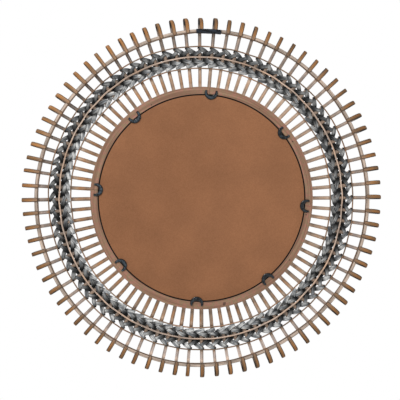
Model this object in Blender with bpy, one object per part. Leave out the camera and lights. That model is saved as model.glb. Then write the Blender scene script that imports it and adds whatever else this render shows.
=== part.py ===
"""A round wall mirror in a sunburst frame of looped split rattan.

A disc of mirror glass and a backing board sit in a wooden ring of four glued quarters. Eighty flat rattan
spokes stand on the ring's front face. Each runs outwards, loops back over a bent outer hoop and ends on its back.
Three thin hoops and two twined bands of flat grey strands tie the spokes together, a trim ring covers their
inner ends, and a black binding on the outer hoop is where the mirror hangs.

Metres. The mirror looks along -Y, and the wall is at +Y. The origin is in the middle of the binding's
underside, where a nail or hook bears. Angles run clockwise from the top as seen from behind.
"""

import bmesh
import bpy
import math
from mathutils import Vector

GAP = 0.0003  # what touching pieces keep between them

# Glass, board and the wooden ring around them
GLASS_RADIUS = 0.2176
GLASS_THICKNESS = 0.003
GLASS_EDGE_GAP = 0.0008
BOARD_THICKNESS = 0.003
BOARD_EDGE_GAP = 0.0018
RING_FACE_WIDTH = 0.016
LIP_OVERLAP = 0.0055
LIP_THICKNESS = 0.004
RING_QUARTERS = 4
JOINT_ANGLE = math.radians(1.9)
TRIM_OVERHANG = 0.0012
TRIM_EDGE = 0.0025
TRIM_CROWN = 0.0045

# Crescent clips that hold the board in
CLIP_ANGLES = [math.radians(a) for a in (2.8, 49.3, 91.9, 138.3, 180.1, 227.8, 272.0, 318.0)]
CLIP_OUTER_RADIUS = 0.0139
CLIP_INNER_RADIUS = 0.0088
CLIP_CENTRE_OUTSIDE_REBATE = 0.0035
CLIP_INNER_SHIFT = 0.0036
CLIP_HORN = 0.0055
CLIP_THICKNESS = 0.002
CLIP_OUTER_STEPS = 6
CLIP_INNER_STEPS = 4

# Looped spokes
SPOKE_PAIRS = 40
HANGER_SPOKES = 2  # the spokes under the black binding, which also hides the ends of the bent hoop
SPOKE_WIDTH = 0.0072
SPOKE_THICKNESS = 0.0024
SPOKE_SEAT = 0.012
SPOKE_END_INSET = 0.0006  # how far short of the outer hoop's inner edge a spoke's back end stops

# What follows the ring outwards along the spokes, one radial length after the other
INNER_REACH = 0.0384
THIN_HOOP_DIAMETER = 0.0025
INNER_BAND_WIDTH = 0.0200
MIDDLE_HOOP_DIAMETER = 0.0036
OUTER_BAND_WIDTH = 0.0211
OUTER_REACH = 0.0262
ROD_DIAMETER = 0.0022
HOOP_WIDTH = 0.0070
HOOP_THICKNESS = 0.0062
LOOP_REACH = 0.0218

# Flat grey strands, and the black binding
STRAND_THICKNESS = 0.0012
STRAND_LEAD = 0.0024  # how far past a spoke's edge a strand goes before it turns to the other side
BINDING_THICKNESS = 0.0005
BINDING_END_GAP = 0.0006

# Derived radii
SPOKES = 2 * SPOKE_PAIRS
PITCH = 2 * math.pi / SPOKES
FACETS = SPOKE_PAIRS  # flats around each hoop, two spokes to a flat
FLAT = math.cos(math.pi / FACETS)  # a flat's middle is this share of its corners' radius

REBATE_RADIUS = GLASS_RADIUS + GLASS_EDGE_GAP
RING_RADIUS = REBATE_RADIUS + RING_FACE_WIDTH
LIP_RADIUS = GLASS_RADIUS - LIP_OVERLAP
BOARD_RADIUS = REBATE_RADIUS - BOARD_EDGE_GAP

INNER_HOOP_RADIUS = RING_RADIUS + INNER_REACH + THIN_HOOP_DIAMETER / 2
INNER_BAND_START = INNER_HOOP_RADIUS + THIN_HOOP_DIAMETER / 2
MIDDLE_HOOP_RADIUS = INNER_BAND_START + INNER_BAND_WIDTH + MIDDLE_HOOP_DIAMETER / 2
OUTER_BAND_START = MIDDLE_HOOP_RADIUS + MIDDLE_HOOP_DIAMETER / 2
OUTER_HOOP_RADIUS = OUTER_BAND_START + OUTER_BAND_WIDTH + THIN_HOOP_DIAMETER / 2
ROD_START = OUTER_HOOP_RADIUS + THIN_HOOP_DIAMETER / 2 + OUTER_REACH
HOOP_START = ROD_START + ROD_DIAMETER + GAP
HOOP_END = HOOP_START + HOOP_WIDTH
TIP_RADIUS = HOOP_END + LOOP_REACH

# Derived depths, measured forwards from the ring's back face
RING_THICKNESS = BOARD_THICKNESS + GAP + GLASS_THICKNESS + GAP + LIP_THICKNESS
GLASS_BACK = BOARD_THICKNESS + GAP
SPOKE_BACK = RING_THICKNESS + GAP
SPOKE_FRONT = SPOKE_BACK + SPOKE_THICKNESS
TRIM_BACK = SPOKE_FRONT + GAP
HOOP_FRONT = SPOKE_BACK - GAP
HOOP_BACK = HOOP_FRONT - HOOP_THICKNESS
BACK_ARM_FRONT = HOOP_BACK
BACK_ARM_BACK = BACK_ARM_FRONT - SPOKE_THICKNESS

# The binding is a straight sleeve round one flat of the outer hoop, the rod and the ends of two spokes
BINDING_BACK = BACK_ARM_BACK - GAP - BINDING_THICKNESS
BINDING_FRONT = HOOP_FRONT + GAP + BINDING_THICKNESS
BINDING_LOW = ROD_START * FLAT - GAP - BINDING_THICKNESS
BINDING_HIGH = HOOP_END * FLAT + GAP + BINDING_THICKNESS
BINDING_HALF_LENGTH = BINDING_LOW * math.tan(PITCH) - BINDING_END_GAP

AXIS_HEIGHT = -BINDING_LOW
RING_BACK_Y = (BINDING_BACK + BINDING_FRONT) / 2


def clear_scene():
    for old in list(bpy.data.objects):
        bpy.data.objects.remove(old, do_unlink=True)


def material(name, colour, roughness, metallic=0.0):
    made = bpy.data.materials.new(name)
    made.use_nodes = True
    shader = made.node_tree.nodes["Principled BSDF"]
    shader.inputs["Base Color"].default_value = (*colour, 1.0)
    shader.inputs["Roughness"].default_value = roughness
    shader.inputs["Metallic"].default_value = metallic
    return made


def place(angle, radius, depth, aside=0.0):
    """The point at this angle and radius, this far in front of the ring's back, moved aside clockwise."""
    x = -radius * math.sin(angle) - aside * math.cos(angle)
    z = radius * math.cos(angle) - aside * math.sin(angle)
    return Vector((x, -depth, z))


def add_skin(mesh, sections, closed):
    """Adds a skin over cross-sections of equal length. An open one gets a cap at each end."""
    rows = [[mesh.verts.new(point) for point in section] for section in sections]
    count = len(rows[0])
    for index in range(len(rows) if closed else len(rows) - 1):
        here, there = rows[index], rows[(index + 1) % len(rows)]
        for side in range(count):
            after = (side + 1) % count
            mesh.faces.new((here[side], here[after], there[after], there[side]))
    if not closed:
        mesh.faces.new(rows[0])
        mesh.faces.new(rows[-1])


def finish(name, mesh, finish_material, axis):
    """Makes the mesh an object whose parent stands on the mirror's axis."""
    bmesh.ops.recalc_face_normals(mesh, faces=mesh.faces)
    data = bpy.data.meshes.new(name)
    mesh.to_mesh(data)
    mesh.free()
    data.materials.append(finish_material)
    made = bpy.data.objects.new(name, data)
    bpy.context.scene.collection.objects.link(made)
    made.parent = axis
    return made


def skinned(name, sections, closed, finish_material, axis):
    mesh = bmesh.new()
    add_skin(mesh, sections, closed)
    return finish(name, mesh, finish_material, axis)


def cutter(made):
    """Keeps an object out of the model. It only shapes another one."""
    made.hide_render = True
    made.display_type = "WIRE"
    return made


def boolean(made, other, operation):
    modifier = made.modifiers.new(operation.title(), "BOOLEAN")
    modifier.operation = operation
    modifier.object = other
    modifier.solver = "EXACT"


def facet_angles(start=-math.pi / FACETS, turn=2 * math.pi, steps=FACETS):
    """Corner angles. By default one flat of the closed round faces straight up."""
    return [start + turn * step / steps for step in range(steps)]


def disc(name, radius, back, thickness, finish_material, axis):
    """A round plate: two rings of corners, capped."""
    sections = [
        [place(angle, radius, depth) for angle in facet_angles()] for depth in (back, back + thickness)
    ]
    return skinned(name, sections, False, finish_material, axis)


def turned_ring(name, profile, finish_material, axis):
    """A closed ring: profile is a list of (radius, depth) corners."""
    sections = [[place(angle, *corner) for corner in profile] for angle in facet_angles()]
    return skinned(name, sections, True, finish_material, axis)


def round_hoop(name, radius, depth, diameter, finish_material, axis):
    """A thin hoop of four-sided section, on edge, as wide and as deep as the round rod that it stands for."""
    half = diameter / 2
    profile = [(radius - half, depth), (radius, depth + half), (radius + half, depth), (radius, depth - half)]
    return turned_ring(name, profile, finish_material, axis)


def ring_quarter(number, finish_material, axis):
    """One quarter of the wooden ring, with the rebate that holds glass and board and the lip in front of it."""
    back_of_lip = RING_THICKNESS - LIP_THICKNESS
    profile = [
        (REBATE_RADIUS, 0.0),
        (RING_RADIUS, 0.0),
        (RING_RADIUS, RING_THICKNESS),
        (LIP_RADIUS, RING_THICKNESS),
        (LIP_RADIUS, back_of_lip),
        (REBATE_RADIUS, back_of_lip),
    ]
    half_joint = GAP / 2 / LIP_RADIUS
    turn = 2 * math.pi / RING_QUARTERS
    start = JOINT_ANGLE + number * turn + half_joint
    steps = FACETS // RING_QUARTERS
    angles = facet_angles(start, turn - 2 * half_joint, steps) + [start + turn - 2 * half_joint]
    sections = [[place(angle, *corner) for corner in profile] for angle in angles]
    return skinned(f"ring_quarter_{number + 1}", sections, False, finish_material, axis)


def trim_ring(finish_material, axis):
    """The half-round ring in front that covers the spokes' inner ends: flat behind and crowned in front."""
    inner, outer = LIP_RADIUS, RING_RADIUS + TRIM_OVERHANG
    shoulder = TRIM_BACK + TRIM_EDGE
    profile = [
        (inner, TRIM_BACK),
        (outer, TRIM_BACK),
        (outer, shoulder),
        ((inner + outer) / 2, shoulder + TRIM_CROWN),
        (inner, shoulder),
    ]
    return turned_ring("front_trim_ring", profile, finish_material, axis)


def clip_outline():
    """(aside, radius) points of a crescent whose horns point outwards: an outer arc and back along an inner one."""
    centre = REBATE_RADIUS + CLIP_CENTRE_OUTSIDE_REBATE
    points = []
    for radius, lift, steps, sign in (
        (CLIP_OUTER_RADIUS, 0.0, CLIP_OUTER_STEPS, 1),
        (CLIP_INNER_RADIUS, CLIP_INNER_SHIFT, CLIP_INNER_STEPS, -1),
    ):
        tilt = math.asin((CLIP_HORN - lift) / radius)
        for step in range(steps + 1):
            turn = sign * (math.pi + 2 * tilt) * (step / steps - 0.5)
            points.append((radius * math.sin(turn), centre + lift - radius * math.cos(turn)))
    return points


def board_clip(number, angle, finish_material, axis):
    """A flat black crescent that spans the gap between ring and board."""
    sections = [
        [place(angle, radius, depth, aside) for aside, radius in clip_outline()]
        for depth in (-GAP - CLIP_THICKNESS, -GAP)
    ]
    return skinned(f"board_clip_{number + 1}", sections, False, finish_material, axis)


def spoke_angle(index):
    return (index + 0.5) * PITCH


def spoke_sections(index):
    """One looped spoke: out along the front, over at the tip and back onto the outer hoop."""
    angle = spoke_angle(index)
    half_width, half = SPOKE_WIDTH / 2, SPOKE_THICKNESS / 2
    front, back = SPOKE_BACK + half, BACK_ARM_BACK + half
    line = [
        (RING_RADIUS - SPOKE_SEAT, front, 0.0, 1.0),
        (TIP_RADIUS - half, front, 1.0, 1.0),
        (TIP_RADIUS - half, back, 1.0, -1.0),
        (HOOP_START + SPOKE_END_INSET, back, 0.0, -1.0),
    ]
    return [
        [
            place(angle, radius + out * side * half, depth + forward * side * half, aside)
            for side, aside in ((-1, -half_width), (-1, half_width), (1, half_width), (1, -half_width))
        ]
        for radius, depth, out, forward in line
    ]


def spokes_on_hoop(name, first, count, finish_material, axis):
    """Spokes in a row and their stretch of the outer hoop, one body with the ends that are glued to its back.

    A stretch ends at corners of the hoop, so first is odd and count is even.
    """
    profile = [
        (HOOP_START, HOOP_BACK),
        (HOOP_END, HOOP_BACK),
        (HOOP_END, HOOP_FRONT),
        (HOOP_START, HOOP_FRONT),
    ]
    half_joint = GAP / 2 / HOOP_START
    angles = [(first + step) * PITCH for step in range(0, count + 1, 2)]
    angles[0] += half_joint
    angles[-1] -= half_joint
    sections = [[place(angle, *corner) for corner in profile] for angle in angles]
    made = skinned(name, sections, False, finish_material, axis)
    mesh = bmesh.new()
    for index in range(first, first + count):
        add_skin(mesh, spoke_sections(index), False)
    loops = cutter(finish(name + "_to_join", mesh, finish_material, axis))
    boolean(made, loops, "UNION")
    return made


def strand(name, first, band_start, band_width, slant, finish_material, axis):
    """One of a twined band's two flat strands.

    It lies slanting across the back of every second spoke and crosses the front of the next one. slant is 1
    where it comes inwards as it goes clockwise, and -1 where it goes outwards.
    """
    low = band_start + GAP
    high = (band_start + band_width) * FLAT - GAP
    middle = (low + high) / 2
    arc = PITCH * middle
    lead = SPOKE_WIDTH / 2 + STRAND_LEAD
    spread = arc / (arc - lead)
    # Where the two strands pass each other they are spread times the swing apart, so this width keeps them clear
    width = (spread * (high - low) / 2 - GAP) / (1 + spread / 2)
    swing = (high - low - width) / 2
    half = STRAND_THICKNESS / 2
    behind = SPOKE_BACK - GAP - half
    share = (SPOKE_WIDTH / 2) / (arc - lead)
    before = (SPOKE_FRONT + GAP + half - share * behind) / (1 - share)
    sections = []
    for index in range(first, first + SPOKES, 2):
        over, under = spoke_angle(index), spoke_angle(index + 1)
        for angle, radius, depth in (
            (over - lead / middle, middle + slant * swing, behind),
            (over + lead / middle, middle - slant * swing, behind),
            (under, middle, before),
        ):
            corners = ((-1, -1), (1, -1), (1, 1), (-1, 1))
            sections.append([place(angle, radius + a * width / 2, depth + b * half) for a, b in corners])
    return skinned(name, sections, True, finish_material, axis)


def binding_box(name, inset, half_length, finish_material, axis):
    """A straight box along the top flat of the hoop, this far inside the binding's outer faces."""
    low, high = BINDING_LOW + inset, BINDING_HIGH - inset
    back, front = BINDING_BACK + inset, BINDING_FRONT - inset
    corners = ((low, back), (high, back), (high, front), (low, front))
    sections = [[Vector((x, -depth, z)) for z, depth in corners] for x in (-half_length, half_length)]
    return skinned(name, sections, False, finish_material, axis)


def hanger_binding(finish_material, axis):
    """A sleeve of black tape round hoop, rod and two spoke ends, open where the spokes' arms pass through."""
    made = binding_box("hanger_binding", 0.0, BINDING_HALF_LENGTH, finish_material, axis)
    hollow = binding_box("binding_hollow", BINDING_THICKNESS, 2 * BINDING_HALF_LENGTH, finish_material, axis)
    mesh = bmesh.new()
    clear_width = SPOKE_WIDTH / 2 + GAP
    for index in range(-1, HANGER_SPOKES - 1):
        for back, low, high in (
            (BACK_ARM_BACK - GAP, (BINDING_LOW + BINDING_HIGH) / 2, TIP_RADIUS),
            (SPOKE_BACK - GAP, OUTER_HOOP_RADIUS, TIP_RADIUS),
        ):
            front = back + SPOKE_THICKNESS + 2 * GAP
            corners = ((-clear_width, back), (clear_width, back), (clear_width, front), (-clear_width, front))
            sections = [
                [place(spoke_angle(index), radius, depth, aside) for aside, depth in corners]
                for radius in (low, high)
            ]
            add_skin(mesh, sections, False)
    arms = finish("binding_arm_slots", mesh, finish_material, axis)
    for other in (hollow, arms):
        boolean(made, cutter(other), "DIFFERENCE")
    return made


def build():
    clear_scene()
    axis = bpy.data.objects.new("mirror_axis", None)
    axis.location = (0.0, RING_BACK_Y, AXIS_HEIGHT)
    bpy.context.scene.collection.objects.link(axis)

    glass = material("mirror_glass", (0.85, 0.87, 0.88), 0.02, 1.0)
    board = material("brown_fibreboard", (0.33, 0.15, 0.075), 0.8)
    wood = material("ring_wood", (0.38, 0.21, 0.14), 0.7)
    rattan = material("split_rattan", (0.36, 0.19, 0.09), 0.55)
    reed = material("round_reed", (0.42, 0.26, 0.16), 0.6)
    grey = material("grey_strand", (0.14, 0.15, 0.16), 0.6)
    black = material("black_clip", (0.015, 0.016, 0.018), 0.35)
    tape = material("black_binding", (0.02, 0.021, 0.025), 0.4)

    disc("mirror_glass", GLASS_RADIUS, GLASS_BACK, GLASS_THICKNESS, glass, axis)
    disc("backing_board", BOARD_RADIUS, 0.0, BOARD_THICKNESS, board, axis)
    for number in range(RING_QUARTERS):
        ring_quarter(number, wood, axis)
    trim_ring(wood, axis)
    for number, angle in enumerate(CLIP_ANGLES):
        board_clip(number, angle, black, axis)

    spokes_on_hoop("hanger_loops", -1, HANGER_SPOKES, rattan, axis)
    spokes_on_hoop("spoke_loops_on_outer_hoop", 1, SPOKES - HANGER_SPOKES, rattan, axis)
    rod_depth = BACK_ARM_FRONT + GAP + ROD_DIAMETER / 2
    round_hoop("outer_hoop_rod", ROD_START + ROD_DIAMETER / 2, rod_depth, ROD_DIAMETER, reed, axis)
    for name, radius, diameter in (
        ("inner_thin_hoop", INNER_HOOP_RADIUS, THIN_HOOP_DIAMETER),
        ("middle_hoop", MIDDLE_HOOP_RADIUS, MIDDLE_HOOP_DIAMETER),
        ("outer_thin_hoop", OUTER_HOOP_RADIUS, THIN_HOOP_DIAMETER),
    ):
        round_hoop(name, radius, SPOKE_BACK - GAP - diameter / 2, diameter, reed, axis)

    for band, start, width, slant in (
        ("inner_band", INNER_BAND_START, INNER_BAND_WIDTH, -1),
        ("outer_band", OUTER_BAND_START, OUTER_BAND_WIDTH, 1),
    ):
        for first in (0, 1):
            strand(f"{band}_strand_{first + 1}", first, start, width, slant, grey, axis)
    hanger_binding(tape, axis)


build()
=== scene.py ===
# %% [markdown]
# # A round wall mirror in a sunburst of looped rattan
#
# The picture shows this mirror from behind: a brown board in a wooden ring, eighty flat rattan spokes that
# loop over a bent hoop, and two bands of grey strips woven between the spokes. Every shape below is a
# formula on a grid of numbers, because almost everything on the object is a strip or a rod that follows a
# path. We begin with the imported CAD model, which fixes where each piece is.

import bpy
import numpy as np
from mathutils import Matrix, Vector


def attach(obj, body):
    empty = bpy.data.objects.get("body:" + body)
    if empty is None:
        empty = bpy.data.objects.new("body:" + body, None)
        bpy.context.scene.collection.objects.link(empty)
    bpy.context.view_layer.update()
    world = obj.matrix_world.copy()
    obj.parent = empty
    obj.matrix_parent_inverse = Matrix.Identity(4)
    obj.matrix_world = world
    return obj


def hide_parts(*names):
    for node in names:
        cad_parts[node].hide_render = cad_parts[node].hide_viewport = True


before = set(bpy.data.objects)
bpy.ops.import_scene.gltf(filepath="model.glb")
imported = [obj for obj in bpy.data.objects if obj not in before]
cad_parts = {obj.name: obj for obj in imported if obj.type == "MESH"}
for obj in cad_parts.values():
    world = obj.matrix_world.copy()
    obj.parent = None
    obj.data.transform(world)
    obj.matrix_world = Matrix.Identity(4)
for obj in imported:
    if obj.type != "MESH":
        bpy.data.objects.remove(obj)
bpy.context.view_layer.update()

# %% [markdown]
# The object is round, so we place every point by an angle, a radius and a depth. The angle runs clockwise
# from the top as seen from behind, and the depth runs forwards from the back face of the wooden ring. One
# function turns whole arrays of these into points. The sizes are those of the CAD model, in metres.

# %% Sizes and places
AXIS_Y, AXIS_Z = 0.0063, -0.346825  # the ring's back face and the mirror's centre
PIXEL = 0.002111  # one pixel of the photograph on the object
GAP = 0.0003  # what touching pieces keep between them
RING_IN, RING_OUT, RING_LIP = 0.2184, 0.2344, 0.2121  # radii of the rebate, the rim and the lip in front
RING_THICK, LIP_THICK = 0.0106, 0.004
SPOKE_BACK, SPOKE_THICK = 0.0109, 0.0024
ARM_BACK = 0.0020  # the back of the arm that comes back behind
ROD_IN, ROD = 0.3487, 0.0022
HOOP_IN, HOOP_WIDE, HOOP_BACK, HOOP_FRONT = 0.3512, 0.0070, 0.0044, 0.0106
TIP_RADIUS = 0.380
SPOKES = 80
PITCH = 2 * np.pi / SPOKES
random = np.random.default_rng(8)


def polar(angle, radius, depth, aside=0.0):
    """x = -r sin a - s cos a, y = the ring's back - depth, z = the centre + r cos a - s sin a."""
    angle, radius, depth, aside = np.broadcast_arrays(angle, radius, depth, aside)
    x = -radius * np.sin(angle) - aside * np.cos(angle)
    z = radius * np.cos(angle) - aside * np.sin(angle)
    return np.stack([x, AXIS_Y - depth, AXIS_Z + z], axis=-1)


def heading(angle, radius=0.0, aside=0.0):
    """The way that a radius or a distance aside goes at an angle: its place less the centre's."""
    return polar(angle, radius, 0.0, aside) - polar(angle, 0.0, 0.0)


def bump(angle, centre, width):
    """exp(-(d / w)^2), where d is the shorter way round from the centre. Both are in degrees."""
    away = (np.degrees(angle) - centre + 180) % 360 - 180
    return np.exp(-((away / width) ** 2))


def ease(value, low, high):
    """0 below low, 1 above high, and 3 t^2 - 2 t^3 between them."""
    t = np.clip((value - low) / (high - low), 0, 1)
    return t * t * (3 - 2 * t)


def between_keys(angle, keys, spread):
    """Straight lines between keys of (degrees, value), closed round the circle. The mean over spread degrees
    to both sides rounds their corners."""
    keys = np.asarray(keys, float)
    nearby = np.degrees(np.asarray(angle, float))[..., None] + spread * np.linspace(-1, 1, 9)
    return np.interp(nearby, keys[:, 0], keys[:, 1], period=360).mean(axis=-1)


spoke_angles = (np.arange(SPOKES) + 0.5) * PITCH
print("spoke pitch", round(float(np.degrees(PITCH)), 2), "degrees")

# %% [markdown]
# ## From grids to meshes
#
# A strip, rod or ring is a section carried along a path: a grid of points with one row for each place on
# the path. The function below takes many such grids at once, stitches neighbours into four-sided faces and
# closes open ends. It also writes a UV map in metres, along the path and around the section, so that a
# fibre in a material can follow a bent strip. If the faces came out pointing inwards, which the sign of the
# volume tells, they are turned round.

# %% Grid to mesh


def skin(name, grids, loop=False, attributes=None, sharp=50):
    """Stitches grids of shape (pieces, along, around, 3) into one mesh. loop joins each grid's last row to
    its first. Attributes are arrays that broadcast over (pieces, along, around)."""
    pieces, along, around, _ = grids.shape
    index = np.arange(pieces * along * around).reshape(pieces, along, around)
    rows = np.concatenate([index, index[:, :1]], axis=1) if loop else index
    rows = np.concatenate([rows, rows[:, :, :1]], axis=2)
    quads = np.stack([rows[:, :-1, :-1], rows[:, 1:, :-1], rows[:, 1:, 1:], rows[:, :-1, 1:]], axis=-1)

    wide = np.concatenate([grids, grids[:, :1]], axis=1) if loop else grids
    wide = np.concatenate([wide, wide[:, :, :1]], axis=2)
    middle = wide[:, :, :-1].mean(axis=2)
    travel = np.linalg.norm(np.diff(middle, axis=1), axis=-1)
    travel = np.concatenate([np.zeros((pieces, 1)), np.cumsum(travel, axis=1)], axis=1)
    turn = np.linalg.norm(np.diff(wide, axis=2), axis=-1).mean(axis=1)
    turn = np.concatenate([np.zeros((pieces, 1)), np.cumsum(turn, axis=1)], axis=1)
    place = np.stack(np.broadcast_arrays(travel[:, :, None], turn[:, None, :]), axis=-1)
    uvs = np.stack([place[:, :-1, :-1], place[:, 1:, :-1], place[:, 1:, 1:], place[:, :-1, 1:]], axis=-2)

    faces, uvs = quads.reshape(-1, 4), uvs.reshape(-1, 4, 2)
    corners = grids.reshape(-1, 3)[faces]
    volume = np.einsum("ij,ij->", corners[:, 0], np.cross(corners[:, 1], corners[:, 2]))
    volume += np.einsum("ij,ij->", corners[:, 0], np.cross(corners[:, 2], corners[:, 3]))
    ends = [] if loop else [index[:, 0], index[:, -1, ::-1]]
    if volume < 0:
        faces, uvs, ends = faces[:, ::-1], uvs[:, ::-1], [end[:, ::-1] for end in ends]
    polygons = faces.tolist() + [polygon for end in ends for polygon in end.tolist()]

    mesh = bpy.data.meshes.new(name)
    mesh.from_pydata(grids.reshape(-1, 3).tolist(), [], polygons)
    end_uvs = np.zeros((sum(end.size for end in ends), 2))
    flat = np.concatenate([uvs.reshape(-1, 2), end_uvs])
    mesh.uv_layers.new(name="along_around").data.foreach_set("uv", flat.astype(np.float32).ravel())
    for key, values in (attributes or {}).items():
        values = np.broadcast_to(values, (pieces, along, around)).astype(np.float32)
        mesh.attributes.new(key, "FLOAT", "POINT").data.foreach_set("value", values.ravel())
    mesh.shade_smooth()
    mesh.set_sharp_from_angle(angle=np.radians(sharp))
    made = bpy.data.objects.new(name, mesh)
    bpy.context.scene.collection.objects.link(made)
    return made


def carry(path, across, out, section):
    """path + x across + y out for each (x, y) of the section, in arrays of (pieces, along, around, 3)."""
    aside = path[..., None, :] + across[..., None, :] * section[..., :1]
    return aside + out[..., None, :] * section[..., 1:]


def dress(made, finish, slot, *nodes):
    """Gives a piece its finish, lets it ride on the mirror's body and lets it stand for the CAD nodes."""
    made.data.materials.append(finish)
    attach(made, "root")
    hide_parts(*nodes)
    print(made.name, "has", sum(len(face.vertices) - 2 for face in made.data.polygons), "triangles")


print("ready to carry sections, to stitch them and to dress the pieces")

# %% [markdown]
# Two sections come back again and again: a circle for reeds, and a polygon whose corners are softened,
# because a wooden edge is never perfectly sharp and a soft one catches the light.

# %% Sections


def circle(radius, count=10):
    """(r cos t, r sin t) for count angles t."""
    turn = np.linspace(0, 2 * np.pi, count, endpoint=False)
    return radius * np.stack([np.cos(turn), np.sin(turn)], axis=-1)


def soften(corners, reach):
    """Replaces each corner by three points of the curve (1-t)^2 A + 2 t (1-t) corner + t^2 B. A and B lie
    reach away from the corner, towards its neighbours."""
    corners = np.asarray(corners, float)
    ends = []
    for step in (1, -1):
        towards = np.roll(corners, step, axis=0) - corners
        ends.append(corners + reach * towards / np.linalg.norm(towards, axis=1, keepdims=True))
    middle = (ends[0] + 2 * corners + ends[1]) / 4
    return np.stack([ends[0], middle, ends[1]], axis=1).reshape(-1, 2)


def turned(section, angles, lift=0.0):
    """Carries a section of (radius, depth) corners round the mirror's axis. lift is added to the radius."""
    lift = np.broadcast_to(lift, angles.shape)[:, None]
    return polar(angles[:, None], section[None, :, 0] + lift, section[None, :, 1])[None]


print("a softened square has", len(soften([(0, 0), (1, 0), (1, 1), (0, 1)], 0.1)), "points")

# %% [markdown]
# ## Shader maths as Python
#
# Materials are node trees. Wiring them by hand hides the idea, so a small class wraps a socket and lets
# ordinary operators add the Math nodes. One method makes every other kind of node.

# %% Nodes


class Wire:
    """An output socket that takes part in arithmetic. Each operator adds one Math node."""

    def __init__(self, finish, socket):
        self.finish, self.socket = finish, socket

    def math(self, operation, first, second):
        return self.finish.node("ShaderNodeMath", {"operation": operation}, {0: first, 1: second})

    def __add__(self, other):
        return self.math("ADD", self, other)

    def __sub__(self, other):
        return self.math("SUBTRACT", self, other)

    def __rsub__(self, other):
        return self.math("SUBTRACT", other, self)

    def __mul__(self, other):
        return self.math("MULTIPLY", self, other)

    __radd__, __rmul__ = __add__, __mul__

    def between(self, low, high, first=0.0, second=1.0):
        """first below low, second above high, and a smooth way between."""
        return self.finish.node(
            "ShaderNodeMapRange",
            {"interpolation_type": "SMOOTHSTEP"},
            {0: self, 1: low, 2: high, 3: first, 4: second},
        )

    def mix(self, first, second):
        """The first colour where this is 0 and the second where it is 1."""
        return self.finish.node(
            "ShaderNodeMix", {"data_type": "RGBA"}, {0: self, 6: first, 7: second}, output=2
        )


class Finish:
    """One material. node() adds a node: settings come first, then the values or wires of its sockets."""

    def __init__(self, name):
        self.material = bpy.data.materials.new(name)
        self.material.use_nodes = True
        self.tree = self.material.node_tree
        self.tree.nodes.clear()

    def node(self, kind, settings=None, inputs=None, output=0):
        made = self.tree.nodes.new(kind)
        for key, value in (settings or {}).items():
            setattr(made, key, value)
        for key, value in (inputs or {}).items():
            if isinstance(value, Wire):
                self.tree.links.new(value.socket, made.inputs[key])
            else:
                made.inputs[key].default_value = value
        return Wire(self, made.outputs[output])

    def attribute(self, name):
        return self.node("ShaderNodeAttribute", {"attribute_name": name}, output="Fac")

    def place(self, source="Object", stretch=(1, 1, 1)):
        """Where on the surface: its Object coordinates or its UV map, stretched by three numbers."""
        where = self.node("ShaderNodeTexCoord", output=source)
        return self.node("ShaderNodeVectorMath", {"operation": "MULTIPLY"}, {0: where, 1: stretch})

    def noise(self, where, scale=1.0, detail=3.0, rough=0.55, shift=None):
        """Noise of about 0.25 to 0.75. shift, a wire, moves it, so that no two pieces are alike."""
        if shift is not None:
            where = self.node("ShaderNodeVectorMath", {"operation": "ADD"}, {0: where, 1: shift})
        return self.node(
            "ShaderNodeTexNoise",
            {"noise_dimensions": "3D"},
            {"Vector": where, "Scale": scale, "Detail": detail, "Roughness": rough},
        )

    def scaled(self, vector, factor):
        """A colour or a vector times a number."""
        return self.node("ShaderNodeVectorMath", {"operation": "SCALE"}, {0: vector, "Scale": factor})

    def surface(self, bump=None, strength=0.3, distance=0.0005, **inputs):
        """The Principled shader, its bump and the output. A constant is set on the shader's own socket."""
        inputs = {key.replace("_", " "): value for key, value in inputs.items()}
        if bump is not None:
            inputs["Normal"] = self.node(
                "ShaderNodeBump", {}, {"Strength": strength, "Distance": distance, "Height": bump}
            )
        shader = self.node("ShaderNodeBsdfPrincipled", {}, inputs)
        end = self.tree.nodes.new("ShaderNodeOutputMaterial")
        self.tree.links.new(shader.socket, end.inputs["Surface"])
        return self.material


def paint(red, green, blue):
    """A screen colour of 0 to 255 as the linear colour that a shader reads: ((c + 0.055) / 1.055) ^ 2.4."""
    screen = np.array([red, green, blue]) / 255
    linear = np.where(screen > 0.04045, ((screen + 0.055) / 1.055) ** 2.4, screen / 12.92)
    return (*(float(c) for c in linear), 1.0)


print("middle grey is", round(paint(128, 128, 128)[0], 3), "in linear light")

# %% [markdown]
# ## Camera and light
#
# The photograph looks at the back of the mirror, squarely and from afar, against plain white, and the
# mirror hangs turned by about two and a half degrees. A long lens at three metres gives that view. The
# light is even, as between large studio panels: a bright world for the background, a dimmer one for light,
# and three panels.

# %% Camera
TURN = np.radians(2.47)
DISTANCE = 3.0
SENSOR, PICTURE = 36, 400  # millimetres, and pixels of the photograph's width
OFF_MIDDLE = 1.5, 2.0  # pixels by which the mirror stands right of the picture's middle, and above it
up = Vector((np.sin(TURN), 0, np.cos(TURN)))
right = Vector((-np.cos(TURN), 0, np.sin(TURN)))
centre = Vector((0, 0, AXIS_Z))
target = centre - (OFF_MIDDLE[0] * right + OFF_MIDDLE[1] * up) * PIXEL
camera_data = bpy.data.cameras.new("back_view")
camera_data.sensor_width = SENSOR
camera_data.lens = SENSOR * DISTANCE / (PICTURE * PIXEL)
camera = bpy.data.objects.new("back_view", camera_data)
bpy.context.scene.collection.objects.link(camera)
backwards = Vector((0, 1, 0))
camera.matrix_world = Matrix.Translation(target + backwards * DISTANCE) @ Matrix(
    (right, up, backwards)
).transposed().to_4x4()
bpy.context.scene.camera = camera
print("lens", round(camera_data.lens, 1), "mm at", camera.location[:])

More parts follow.
